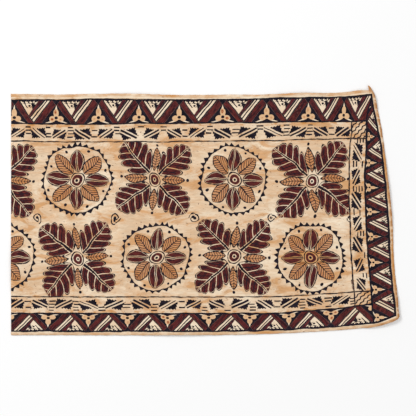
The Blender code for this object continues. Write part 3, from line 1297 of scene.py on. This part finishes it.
class BorderPaint(PatternGroup):
    """All that is painted: the frieze, the slanted leaves, the corner blocks, the ruled lines and the field.

    The lines and runs of the three sides come from the sheet. At each point the group picks the side that the
    point belongs to, and draws that side's band there, so that each motif is drawn once.
    """

    name = "border_paint"
    inputs = (
        Socket("Place", "NodeSocketVector"),
        Socket("Upper_lines", "NodeSocketVector"),
        Socket("Side_lines", "NodeSocketVector"),
        Socket("Lower_lines", "NodeSocketVector"),
        Socket("Upper_run", "NodeSocketVector"),
        Socket("Side_run", "NodeSocketVector"),
        Socket("Lower_run", "NodeSocketVector"),
    )
    outputs = (
        Socket("Black"),
        Socket("Brown"),
        Socket("Plum"),
        Socket("Ochre"),
        Socket("Blush"),
        Socket("Smudge"),
        Socket("Pale"),
        Socket("Lean"),
    )
    heavy = Grain((0.02, 0.02, 0.05), shift=70.0)
    smear = Grain((0.020, 0.009, 0.02), detail=3.0, shift=73.0)
    soft = 0.0005
    hard = 0.0001

    def draw(self, graph: Graph, given: Sockets) -> dict[str, object]:
        """Works out the bands, draws what fills them, and adds the ruled lines last."""
        soft = self.soft
        shift = graph.place_group(HandWobble(), Place=given["Place"])["Shift"]
        sides = ("Upper", "Side", "Lower")
        lines = {side: graph.vector_math("ADD", given[f"{side}_lines"], shift) for side in sides}
        upper_thin, upper_inner, upper_outer = graph.split(lines["Upper"])
        side_thin, side_inner, side_outer = graph.split(lines["Side"])
        lower_thin, lower_inner, lower_outer = graph.split(lines["Lower"])
        place = graph.vector_math("ADD", given["Place"], shift)
        x, y, _ = graph.split(place)

        run_x, run_y = MITRE[1].along - MITRE[0].along, MITRE[1].at - MITRE[0].at
        length = math.hypot(run_x, run_y)
        start = (-MITRE[0].along * run_y + MITRE[0].at * run_x) / length
        mitre = x.times_add(run_y / length, y.times_add(-run_x / length, start))

        hard = self.hard
        end_frieze = side_inner.above(0.0, hard).least(mitre.above(0.0, hard))
        rows_inner = upper_inner.most(lower_inner)
        end_band = side_thin.above(0.0, hard).least(rows_inner.below(0.0, hard))
        on_side = end_frieze.most(end_band.least(side_inner.below(0.0, hard)))
        below = y.below(0.0, hard)
        measured = graph.blend(below, lines["Upper"], lines["Lower"], "VECTOR")
        measured = graph.blend(on_side, measured, lines["Side"], "VECTOR")
        runs = graph.blend(below, given["Upper_run"], given["Lower_run"], "VECTOR")
        runs = graph.blend(on_side, runs, given["Side_run"], "VECTOR")
        strays = (1 / FRIEZE_REPEAT, 1 / LEAF_REPEAT, 0.0)
        thin, inner, outer = graph.split(measured)
        frieze_run, leaf_run, lean = graph.split(graph.vector_math("MULTIPLY_ADD", shift, strays, runs))

        frieze_height = inner / (inner - outer)
        band_height = thin / (thin - inner)
        all_outer = upper_outer.most(side_outer).most(lower_outer)
        all_inner = rows_inner.most(side_inner)
        rows_thin = upper_thin.most(lower_thin)
        all_thin = rows_thin.most(side_thin)
        painted = all_outer.below(0.0, soft)
        in_frieze = all_inner.above(0.0, soft).least(painted)
        crossing = side_thin.above(0.0, soft).least(rows_thin.above(0.0, soft))
        in_band = all_thin.above(0.0, soft).least(all_inner.below(0.0, soft))
        in_block = in_band.least(crossing)
        in_band = in_band.without(crossing)
        in_field = all_thin.below(0.0, soft)

        frieze = graph.place_masks(TriangleFrieze(), Run=frieze_run, Height=frieze_height, Snug=on_side)
        leaves = graph.place_masks(SlantedLeaves(), Run=leaf_run, Height=band_height, Lean=lean)
        block_up = rows_thin / (rows_thin - rows_inner)
        block_across = side_thin / (side_thin - side_inner)
        block_lean = below.times_add(-2.0, 1.0)
        block = graph.place_masks(ZigzagBlock(), Across=block_across, Up=block_up, Lean=block_lean)
        garden = graph.place_masks(LeafGarden(), Place=place)

        heavy = graph.grain(place, self.heavy)
        thick = heavy.times_add(0.0026, side_inner.above(-0.006, 0.008).times_add(0.0006, 0.0006))
        fine = heavy.times_add(0.0024, side_inner.above(-0.050, 0.006).times_add(0.0004, 0.0002))
        ruled = all_outer.band(thick, soft).most(all_inner.band(thick, soft))
        seam = mitre.band(fine, soft).least(upper_inner.above(0.0, soft))
        butt = side_inner.band(fine, soft).least(lower_inner.above(0.0, soft))
        ruled = ruled.most(seam.most(butt).least(painted))
        thin_rows = rows_thin.band(fine, soft).least(side_inner.below(0.0, soft))
        thin_side = side_thin.band(fine, soft).least(rows_inner.below(0.0, soft))
        faint = thin_rows.most(thin_side) * heavy.times_add(1.2, 0.35)
        smudge = (all_inner + 0.0035).band(0.0040, 0.004).most(all_thin.band(0.0030, 0.004))
        smudge = smudge * graph.grain(place, self.smear).above(0.555, 0.09)

        frieze_brown = frieze["Black"].most(frieze["Bare"]).inverse()
        black = (frieze["Black"] * in_frieze).most(leaves["Black"] * in_band)
        black = black.most(block["Black"] * in_block).most(garden["Black"] * in_field)
        return {
            "Black": black.most(ruled).most(faint.least(1.0)),
            "Brown": (frieze_brown * in_frieze).most(garden["Brown"] * in_field),
            "Plum": frieze["Plum"].most(frieze_height * 0.45) * in_frieze,
            "Ochre": garden["Ochre"] * in_field,
            "Blush": frieze["Blush"] * in_frieze,
            "Smudge": smudge,
            "Pale": in_frieze,
            "Lean": (frieze["Lean"] * in_frieze) + (garden["Lean"] * in_field),
        }


class Face(Enum):
    """Which side of the cloth a face is on, and so which finish it wears. The values are material slots."""

    PAINTED = 0
    BARE = 1
    RIM = 2


@dataclass(frozen=True)
class BarkFinish:
    """A finish of beaten bark: its name, and the values that are the same all over it."""

    name: str
    warmth: float = 0.0
    specular: float = 0.14
    sheen: float = 0.0
    bump: float = 0.90
    relief: float = 0.0020
    rusty: float = 0.0

    def material(self) -> bpy.types.Material:
        """Makes the material: the finish's nodes, which end in one shader.

        Returns:
            The material.
        """
        material = bpy.data.materials.new(self.name)
        material.use_nodes = True
        graph = Graph(material.node_tree)
        shader = material.node_tree.nodes["Principled BSDF"]
        shader.inputs["Specular IOR Level"].default_value = self.specular
        shader.inputs["Sheen Weight"].default_value = self.sheen
        shader.inputs["Sheen Roughness"].default_value = 0.6
        shader.inputs["Metallic"].default_value = 0.0
        place = graph.add("ShaderNodeTexCoord").outputs["Object"]
        bark = graph.place_group(BeatenBark(), Place=place, Warmth=self.warmth)
        colour, roughness = self.paint(graph, place, bark)
        bump = graph.add("ShaderNodeBump")
        bump.inputs["Strength"].default_value = self.bump
        bump.inputs["Distance"].default_value = self.relief
        graph.feed(bump.inputs["Height"], bark["Height"])
        graph.feed(shader.inputs["Base Color"], colour)
        graph.feed(shader.inputs["Roughness"], roughness)
        graph.feed(shader.inputs["Normal"], bump.outputs[0])
        return material

    def paint(
        self, graph: Graph, place: bpy.types.NodeSocket, bark: Sockets
    ) -> tuple[object, object]:
        """Leaves the bark bare, and as rusty as the finish says.

        A painted finish lays its paints over the bark here.

        Args:
            graph: The material's graph.
            place: Where the surface is. Bare bark does not use it.
            bark: What the bark's group puts out.

        Returns:
            The colour and the roughness.
        """
        return graph.blend(self.rusty, bark["Colour"], PALETTE.hem_edge), bark["Roughness"]

    @staticmethod
    def painting(graph: Graph, place: bpy.types.NodeSocket) -> dict[str, Signal]:
        """Places the whole painting, on the measures that the sheet carries.

        Args:
            graph: The material's graph.
            place: Where the surface is.

        Returns:
            The painting's masks by name.
        """
        measures = {}
        for side in ("upper", "side", "lower"):
            for kind in ("lines", "run"):
                measures[f"{side.capitalize()}_{kind}"] = graph.attribute(f"{side}_{kind}")
        return graph.place_masks(BorderPaint(), Place=place, **measures)


@dataclass(frozen=True)
class PaintedFinish(BarkFinish):
    """The painted face: bark, hem and stains, then rust, brown and soot black brushed over them."""

    patch = Grain((0.018, 0.012, 0.02), detail=3.0, roughness=0.6, shift=80.0)

    def paint(
        self, graph: Graph, place: bpy.types.NodeSocket, bark: Sockets
    ) -> tuple[object, object]:
        """Lays the hem's colours, with a partly painted highlight on its bead, and stains over the bark, and
        the three paints over those.
        """
        hem, stain, _ = graph.split(graph.attribute("wear"))
        patch = graph.grain(place, self.patch)
        x, _, _ = graph.split(place)
        on_end = x.above(0.412, 0.025)
        tan_share = hem.below(patch.times_add(0.016, -0.0020), 0.003) * patch.above(0.49, 0.14)
        colour = graph.blend(tan_share * on_end.times_add(0.35, 0.45), bark["Colour"], PALETTE.bark_tan)
        rim = hem.below(on_end.times_add(0.0030, 0.0016), 0.003) * patch.above(0.47, 0.20)
        colour = graph.blend(rim * on_end.times_add(0.45, 0.45), colour, PALETTE.hem_edge)
        # A pale stripe along the hem's raised bead: partly the hem's paler bark, and partly a painted
        # highlight where light catches the bead.
        pale_bead_and_highlight = (hem - 0.0095).band(0.0018, 0.0020) * patch.below(0.60, 0.20)
        colour = graph.blend(pale_bead_and_highlight * 0.70, colour, PALETTE.bark_pale)
        stain_share = stain.times_add(1.25, patch * -0.5).above(0.30, 0.36)
        colour = graph.blend(stain_share * 0.82, colour, PALETTE.rust_stain)

        painting = self.painting(graph, place)
        wash = graph.place_masks(BrushWash(), Place=place, Turn=painting["Lean"])
        pool, streak, dry = wash["Pool"], wash["Streak"], wash["Dry"]
        colour = graph.blend(painting["Smudge"] * 0.75, colour, PALETTE.rust_stain)
        colour = graph.blend(painting["Pale"].without(stain_share) * 0.6, colour, PALETTE.bark_pale)
        ochre = graph.blend(streak.most(pool * 0.7), PALETTE.ochre, PALETTE.ochre_dark)
        colour = graph.blend(painting["Ochre"] * dry.times_add(0.6, 0.50), colour, ochre)
        colour = graph.blend(painting["Blush"].times_add(2.4, 0.0).least(0.8), colour, PALETTE.petal)
        blush_share = painting["Blush"].above(0.60, 0.45) * dry.below(0.62, 0.25)
        colour = graph.blend(blush_share, colour, PALETTE.blush)
        brown = graph.blend(painting["Plum"] * 0.9, PALETTE.brown, PALETTE.plum)
        brown = graph.blend(streak * 0.55, brown, PALETTE.brown_red)
        brown = graph.blend(pool * 0.85, brown, PALETTE.brown_dark)
        brown = graph.tone(brown, dry.times_add(0.6, 0.66))
        brown_share = painting["Brown"] * dry.below(0.74, 0.16).times_add(0.40, 0.60)
        colour = graph.blend(brown_share, colour, brown)
        soot = graph.blend(pool * 0.7, PALETTE.soot, PALETTE.soot_worn)
        black_share = painting["Black"] * dry.below(0.78, 0.14).times_add(0.35, 0.65)
        colour = graph.blend(black_share, colour, soot)
        covered = painting["Brown"].most(painting["Black"])
        roughness = Signal(graph, bark["Roughness"]) - covered * 0.10
        return colour, roughness


@dataclass(frozen=True)
class BackFinish(BarkFinish):
    """The unpainted back: darker bark, with a faint trace of the face's dark paint struck through."""

    patch = Grain((0.030, 0.014, 0.02), detail=3.0, shift=88.0)

    def paint(
        self, graph: Graph, place: bpy.types.NodeSocket, bark: Sockets
    ) -> tuple[object, object]:
        """Lays the ghost of the painting over the bark."""
        painting = self.painting(graph, place)
        colour = graph.blend(0.45, bark["Colour"], PALETTE.back)
        patch = graph.grain(place, self.patch)
        ghost = painting["Black"].most(painting["Brown"] * 0.8) * patch.above(0.50, 0.40) * 0.22
        colour = graph.blend(ghost, colour, PALETTE.speck)
        return colour, bark["Roughness"]


class HemRow(NamedTuple):
    """A row of points along a hem: how far in it lies as a share of the hem's width, and how thick it is."""

    share: float
    thickness: float


def select_nothing() -> None:
    """Deselects every object, so that an operator acts on the new one alone."""
    if bpy.context.object and bpy.context.object.mode != "OBJECT":
        bpy.ops.object.mode_set(mode="OBJECT")
    bpy.ops.object.select_all(action="DESELECT")


def select_only(piece: bpy.types.Object) -> None:
    """Selects one piece and makes it the active one."""
    select_nothing()
    piece.select_set(True)
    bpy.context.view_layer.objects.active = piece


def rest_at_origin(piece: bpy.types.Object) -> None:
    """Moves a piece's place, turn and scale into its mesh."""
    select_only(piece)
    bpy.ops.object.transform_apply(location=True, rotation=True, scale=True)


def apply_modifiers(piece: bpy.types.Object) -> None:
    """Applies all the modifiers of a piece, in their order."""
    select_only(piece)
    for modifier in list(piece.modifiers):
        bpy.ops.object.modifier_apply(modifier=modifier.name)


@dataclass
class TapaSheet:
    """The cloth itself: one sheet of beaten bark with its turned hem, creases and swells."""

    outline: Outline = field(default_factory=Outline)
    sides: tuple[Border, ...] = (UPPER, SIDE, LOWER)
    thickness: float = 0.0012
    hem_thickness: float = 0.0024
    step_along: float = 0.0041
    step_across: float = 0.0040
    fray: float = 0.0011
    fray_depth: float = 0.009
    frays: tuple[Fray, ...] = (Fray(0.017, 21.3, 0.7), Fray(0.0062, 40.1, 0.5))
    ripples: tuple[Ripple, ...] = (
        Ripple(0.085, 0.034, 3.7, 0.00055, 0.55),
        Ripple(0.034, 0.0125, 8.2, 0.00024, 0.40),
    )
    crease_sway: float = 0.010
    flat: tuple[float, float] = (0.612, 0.970)
    flat_area: float = 0.566
    hem_rows: tuple[HemRow, ...] = (
        HemRow(0.00, 0.30),
        HemRow(0.06, 0.62),
        HemRow(0.16, 0.86),
        HemRow(0.34, 0.98),
        HemRow(0.52, 0.94),
        HemRow(0.66, 0.86),
        HemRow(0.80, 1.00),
        HemRow(0.92, 0.97),
        HemRow(1.00, 0.80),
    )
    creases: tuple[Crease, ...] = (
        Crease(-0.222, 0.090, 0.300, 0.0075, 0.0011, 88.0),
        Crease(-0.236, -0.170, 0.200, 0.0080, 0.0008, 95.0),
        Crease(0.060, 0.060, 0.260, 0.0060, 0.0007, 84.0),
        Crease(0.050, -0.180, 0.180, 0.0070, 0.0008, 97.0),
        Crease(0.300, -0.030, 0.220, 0.0065, 0.0008, 72.0),
        Crease(0.424, -0.090, 0.260, 0.0075, 0.0012, 86.0),
        Crease(0.434, -0.225, 0.150, 0.0085, 0.0014, -42.0),
        Crease(0.385, 0.255, 0.120, 0.0065, 0.0011, 28.0),
        Crease(0.270, 0.270, 0.110, 0.0060, 0.0010, -12.0),
        Crease(0.130, 0.262, 0.130, 0.0060, 0.0008, 9.0),
        Crease(-0.060, 0.265, 0.160, 0.0065, 0.0009, -5.0),
        Crease(-0.330, 0.262, 0.170, 0.0060, 0.0009, 4.0),
        Crease(-0.420, 0.020, 0.160, 0.0060, 0.0008, 14.0),
        Crease(-0.380, -0.150, 0.190, 0.0065, 0.0008, -9.0),
        Crease(-0.110, -0.045, 0.230, 0.0060, 0.0007, 6.0),
        Crease(0.160, -0.095, 0.200, 0.0055, 0.0007, -13.0),
        Crease(0.190, 0.115, 0.210, 0.0060, 0.0007, 8.0),
        Crease(-0.060, -0.285, 0.200, 0.0060, 0.0009, 3.0),
        Crease(0.240, -0.270, 0.170, 0.0065, 0.0009, 7.0),
    )
    stains: tuple[Stain, ...] = (
        Stain(0.252, -0.119, 0.075, 0.020, 0.85),
        Stain(0.325, -0.169, 0.020, 0.014, 0.50),
        Stain(0.387, -0.119, 0.020, 0.045, 0.55),
        Stain(-0.430, 0.247, 0.040, 0.026, 0.50),
        Stain(0.330, -0.195, 0.060, 0.010, 0.40),
        Stain(0.190, 0.010, 0.050, 0.018, 0.35),
        Stain(-0.170, 0.130, 0.060, 0.015, 0.30),
        Stain(-0.310, -0.045, 0.070, 0.016, 0.30),
        Stain(0.205, 0.292, 0.030, 0.006, 0.60),
        Stain(-0.080, 0.287, 0.024, 0.005, 0.60),
        Stain(0.385, 0.296, 0.030, 0.008, 0.35),
        Stain(0.472, -0.120, 0.008, 0.120, 0.65),
        Stain(0.450, 0.130, 0.008, 0.080, 0.55),
        Stain(0.150, -0.304, 0.060, 0.006, 0.55),
        Stain(-0.270, -0.308, 0.050, 0.005, 0.50),
    )

    def stations(self, length: float, step: float, first: float, last: float) -> Arrays:
        """Places the grid's lines over a length, close together in the hems.

        Args:
            length: The length, in metres.
            step: The spacing between the hems.
            first: The width of the hem at the start, or nothing for a plain edge.
            last: The width of the hem at the end.

        Returns:
            The lines' places as shares of the length, and how thick the cloth is on each.
        """
        plain = self.thickness / self.hem_thickness
        edge_step = self.outline.hem_step
        head = [(row.share * first, row.thickness) for row in self.hem_rows] if first else [(0.0, plain)]
        tail = [(length - row.share * last, row.thickness) for row in reversed(self.hem_rows)]
        begin = head[-1][0] + (edge_step if first else step)
        finish = tail[0][0] - edge_step
        middle = [(float(at), plain) for at in np.linspace(begin, finish, round((finish - begin) / step) + 1)]
        rows = head + middle + tail
        return np.array([at for at, _ in rows]) / length, np.array([share for _, share in rows])

    def crinkle(self, x: np.ndarray, y: np.ndarray) -> np.ndarray:
        """Gives the small relief of the sheet: soft ripples along it, and the creases.

        Args:
            x: The points' X.
            y: The points' Y.

        Returns:
            The height that they add, never less than nothing.
        """
        height = np.zeros_like(x)
        for i in np.ndindex(x.shape):
            for ripple in self.ripples:
                level = noise.noise(Vector((x[i] / ripple.length, y[i] / ripple.width, ripple.seed)))
                height[i] += ripple.height * (level + ripple.lift)
        for crease in self.creases:
            along, across = in_own_frame(crease, x, y)
            across = across + self.crease_sway * np.sin((x + y) * 31.0 + crease.x * 90.0)
            fade = np.clip(1 - (2 * along / crease.length) ** 2, 0, None)
            height += crease.height * fade / (1 + (across / crease.half_width) ** 2) ** 2
        return np.clip(height, 0, None)

    def frayed(self, x: np.ndarray, y: np.ndarray) -> Arrays:
        """Makes the cloth's edge a little uneven, as beaten bark tears and folds.

        Args:
            x: The grid's X, a row of points for each place along the cloth.
            y: The grid's Y.

        Returns:
            The moved X and Y. Points further in than the frayed depth stay where they are.
        """
        inset = self.hem_inset(x, y)
        share = np.clip(1 - inset / self.fray_depth, 0, 1) ** 1.5
        shift = np.zeros(x.shape + (2,))
        for i in zip(*np.nonzero(share)):
            for axis in (0, 1):
                for fray in self.frays:
                    spot = Vector((x[i] / fray.size, y[i] / fray.size, fray.seed + 7 * axis))
                    shift[i][axis] += fray.share * noise.noise(spot)
        shift *= self.fray
        return x + share * shift[..., 0], y + share * shift[..., 1]

    def hem_inset(self, x: np.ndarray, y: np.ndarray) -> np.ndarray:
        """Gives how far points are inside the nearest hemmed edge.

        Args:
            x: The points' X.
            y: The points' Y.

        Returns:
            The distances.
        """
        top = smooth_line(self.outline.top, x) - y
        end = smooth_line(self.outline.end, y) - x
        bottom = y - smooth_line(self.outline.bottom, x)
        return np.minimum.reduce([top, end, bottom])

    def build(self) -> bpy.types.Object:
        """Builds the sheet from a grid that is laid between the four edges.

        Returns:
            The sheet.
        """
        corner = self.outline.corners()
        length = corner["top_right"][0] - corner["top_left"][0]
        width = corner["top_left"][1] - corner["bottom_left"][1]
        edges = self.outline
        across, end_share = self.stations(length, self.step_along, 0.0, edges.side_hem)
        along, row_share = self.stations(width, self.step_across, edges.bottom_hem, edges.top_hem)
        u, v = np.meshgrid(across, along, indexing="ij")
        x, y = self.outline.place(u, v)
        z = self.outline.lift(x, y) + self.crinkle(x, y)
        x, y = self.frayed(x, y)

        select_nothing()
        cells = (len(across) - 1, len(along) - 1)
        bpy.ops.mesh.primitive_grid_add(x_subdivisions=cells[0], y_subdivisions=cells[1], size=1)
        sheet = bpy.context.object
        sheet.name = "painted_sheet"
        rows = np.empty(len(sheet.data.vertices) * 3)
        sheet.data.vertices.foreach_get("co", rows)
        rows = rows.reshape(-1, 3)
        i = np.rint((rows[:, 0] + 0.5) * cells[0]).astype(int)
        j = np.rint((rows[:, 1] + 0.5) * cells[1]).astype(int)
        sheet.data.vertices.foreach_set("co", np.stack([x[i, j], y[i, j], z[i, j]], axis=-1).ravel())

        plain = self.thickness / self.hem_thickness
        in_row_hem = np.abs(row_share[j] - plain) > 1e-6
        in_end_hem = np.abs(end_share[i] - plain) > 1e-6
        share = np.where(in_row_hem, row_share[j], end_share[i])
        share = np.where(in_row_hem & in_end_hem, np.minimum(row_share[j], end_share[i]), share)
        thick = sheet.vertex_groups.new(name="thick")
        for index, weight in enumerate(np.clip(share, 0.05, 1.0)):
            thick.add([index], float(weight), "REPLACE")
        solidify = sheet.modifiers.new("thickness", "SOLIDIFY")
        solidify.thickness = self.hem_thickness
        solidify.offset = 1.0
        solidify.vertex_group = thick.name
        solidify.thickness_vertex_group = 0.0
        apply_modifiers(sheet)
        sheet.vertex_groups.clear()
        self.measure(sheet)
        return sheet

    def measure(self, sheet: bpy.types.Object) -> None:
        """Stores on the sheet what its paint is drawn from: lines, runs, hem and stains.

        Args:
            sheet: The sheet.
        """
        mesh = sheet.data
        places = np.empty(len(mesh.vertices) * 3)
        mesh.vertices.foreach_get("co", places)
        x, y, _ = places.reshape(-1, 3).T
        values: dict[str, np.ndarray] = {}
        for side in self.sides:
            values.update(side.measures(x, y))
        stain = np.zeros_like(x)
        for spot in self.stains:
            reach = ((x - spot.x) / spot.half_length) ** 2 + ((y - spot.y) / spot.half_width) ** 2
            stain = np.maximum(stain, spot.strength * np.clip(1 - reach / 1.6, 0, None))
        values["wear"] = np.stack([self.hem_inset(x, y), stain, np.zeros_like(x)], axis=-1)
        for name, rows in values.items():
            layer = mesh.attributes.new(name=name, type="FLOAT_VECTOR", domain="POINT")
            layer.data.foreach_set("vector", rows.astype(np.float32).ravel())

    def dress(self, sheet: bpy.types.Object) -> None:
        """Gives the sheet its three finishes, and smooths its shading.

        Args:
            sheet: The sheet.
        """
        painted = PaintedFinish("painted_bark", warmth=0.10)
        bare = BackFinish("bare_bark", warmth=0.25, sheen=0.06, bump=0.50)
        rim = BarkFinish("bark_rim", warmth=0.45, sheen=0.06, bump=0.50)
        for finish in (painted, bare, rim):
            sheet.data.materials.append(finish.material())
        for polygon in sheet.data.polygons:
            tilt = polygon.normal.z
            side = Face.PAINTED if tilt > 0.25 else Face.BARE if tilt < -0.25 else Face.RIM
            polygon.material_index = side.value
        select_only(sheet)
        bpy.ops.object.shade_smooth_by_angle(angle=math.radians(55))


@dataclass
class HemPoint:
    """The loose pointed end of the side hem: a flattened twist of bark past the upper corner."""

    root: tuple[float, float] = (0.4128, 0.2935)
    tip: tuple[float, float] = (0.4052, 0.3112)
    root_half: float = 0.0072
    tip_half: float = 0.0013
    half_thickness: float = 0.0015
    rings: int = 5
    bend: float = 0.0011

    def build(self, floor: float) -> bpy.types.Object:
        """Builds the point: a disc drawn out ring by ring, flattened, bent and closed.

        Args:
            floor: The height of the sheet's underside there.

        Returns:
            The point.
        """
        run = (self.tip[0] - self.root[0], self.tip[1] - self.root[1])
        length = math.hypot(*run)
        select_nothing()
        bpy.ops.mesh.primitive_circle_add(vertices=14, radius=self.root_half, fill_type="NGON")
        point = bpy.context.object
        point.name = "hem_point"
        bpy.ops.object.mode_set(mode="EDIT")
        bpy.ops.mesh.select_all(action="SELECT")
        for ring in range(1, self.rings + 1):
            before = self.half_at((ring - 1) / self.rings)
            shrink = self.half_at(ring / self.rings) / before
            sway = self.bend * math.sin(ring / self.rings * math.pi * 1.3)
            step = (sway, 0.0, length / self.rings)
            bpy.ops.mesh.extrude_region_move(TRANSFORM_OT_translate={"value": step})
            bpy.ops.transform.resize(value=(shrink, shrink, 1.0))
        bpy.ops.mesh.select_all(action="SELECT")
        bpy.ops.mesh.normals_make_consistent(inside=False)
        bpy.ops.object.mode_set(mode="OBJECT")
        point.scale = (1.0, self.half_thickness / self.root_half, 1.0)
        rest_at_origin(point)
        point.rotation_euler = (math.radians(-90), 0.0, math.atan2(-run[0], run[1]))
        point.location = (self.root[0], self.root[1], floor + self.half_thickness)
        rest_at_origin(point)
        rounding = point.modifiers.new("rounding", "SUBSURF")
        rounding.levels = 2
        rounding.render_levels = 2
        apply_modifiers(point)
        bpy.ops.object.shade_smooth()
        return point

    def half_at(self, share: float) -> float:
        """Gives the point's half width at a share of the way to its tip."""
        return self.root_half + (self.tip_half - self.root_half) * share**0.8

    def dress(self, point: bpy.types.Object) -> None:
        """Gives the point the hem's brown bark."""
        point.data.materials.append(BarkFinish("hem_bark", warmth=0.75, bump=0.50, rusty=0.75).material())


class Lamp(NamedTuple):
    """A soft studio light: its name, where it stands, its size, and its power in watts."""

    name: str
    x: float
    y: float
    z: float
    size: float
    power: float


@dataclass
class Studio:
    """The pale floor, the soft lights and the camera over them."""

    floor_side: float = 9.0
    floor_drop: float = 0.0004
    floor_shade: float = 0.97
    camera_x: float = 0.0069
    camera_y: float = 0.0062
    camera_height: float = 2.4554
    lens: float = 85.0
    sensor: float = 36.0
    sky: float = 0.60
    lamps: tuple[Lamp, ...] = (
        Lamp("key", -4.4, 3.9, 4.2, 2.2, 290.0),
        Lamp("fill", 4.2, -3.4, 5.2, 4.0, 90.0),
    )

    def build(self) -> bpy.types.Object:
        """Adds the floor, the lights and the camera.

        Returns:
            The floor.
        """
        select_nothing()
        bpy.ops.mesh.primitive_plane_add(size=self.floor_side, location=(0.0, 0.0, -self.floor_drop))
        floor = bpy.context.object
        floor.name = "floor"
        rest_at_origin(floor)
        material = bpy.data.materials.new("pale_floor")
        material.use_nodes = True
        shader = material.node_tree.nodes["Principled BSDF"]
        shader.inputs["Base Color"].default_value = (self.floor_shade,) * 3 + (1.0,)
        shader.inputs["Roughness"].default_value = 0.9
        shader.inputs["Specular IOR Level"].default_value = 0.0
        floor.data.materials.append(material)

        world = bpy.data.worlds.new("studio")
        bpy.context.scene.world = world
        world.use_nodes = True
        sky = world.node_tree.nodes["Background"]
        sky.inputs["Color"].default_value = (1.0, 1.0, 1.0, 1.0)
        sky.inputs["Strength"].default_value = self.sky
        for lamp in self.lamps:
            self.light(lamp)
        self.camera()
        bpy.context.scene.view_settings.view_transform = "Standard"
        return floor

    def light(self, lamp: Lamp) -> None:
        """Adds one square light that faces the middle of the cloth."""
        data = bpy.data.lights.new(lamp.name, "AREA")
        data.energy = lamp.power
        data.size = lamp.size
        light = bpy.data.objects.new(lamp.name, data)
        light.location = (lamp.x, lamp.y, lamp.z)
        light.rotation_euler = (-Vector(light.location)).to_track_quat("-Z", "Y").to_euler()
        bpy.context.scene.collection.objects.link(light)

    def camera(self) -> None:
        """Adds the camera, which looks straight down."""
        data = bpy.data.cameras.new("camera")
        data.lens = self.lens
        data.sensor_width = self.sensor
        camera = bpy.data.objects.new("camera", data)
        camera.location = (self.camera_x, self.camera_y, self.camera_height)
        bpy.context.scene.collection.objects.link(camera)
        bpy.context.scene.camera = camera


def main() -> None:
    """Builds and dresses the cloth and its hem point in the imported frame, and sets up the studio."""
    logging.basicConfig(level=logging.INFO, format="%(name)s: %(message)s")
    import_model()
    floor = Studio().build()

    cloth = TapaSheet()
    sheet = cloth.build()
    cloth.dress(sheet)
    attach(sheet, "root")
    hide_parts("tapa_cloth")
    LOG.info("%s: %d faces", sheet.name, len(sheet.data.polygons))

    hem_point = HemPoint()
    root = [np.array([place]) for place in hem_point.root]
    point = hem_point.build(float(cloth.outline.lift(*root)[0]))
    hem_point.dress(point)
    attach(point, "root")
    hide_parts("tapa_cloth")
    LOG.info("%s: %d faces", point.name, len(point.data.polygons))


if __name__ == "__main__":
    main()
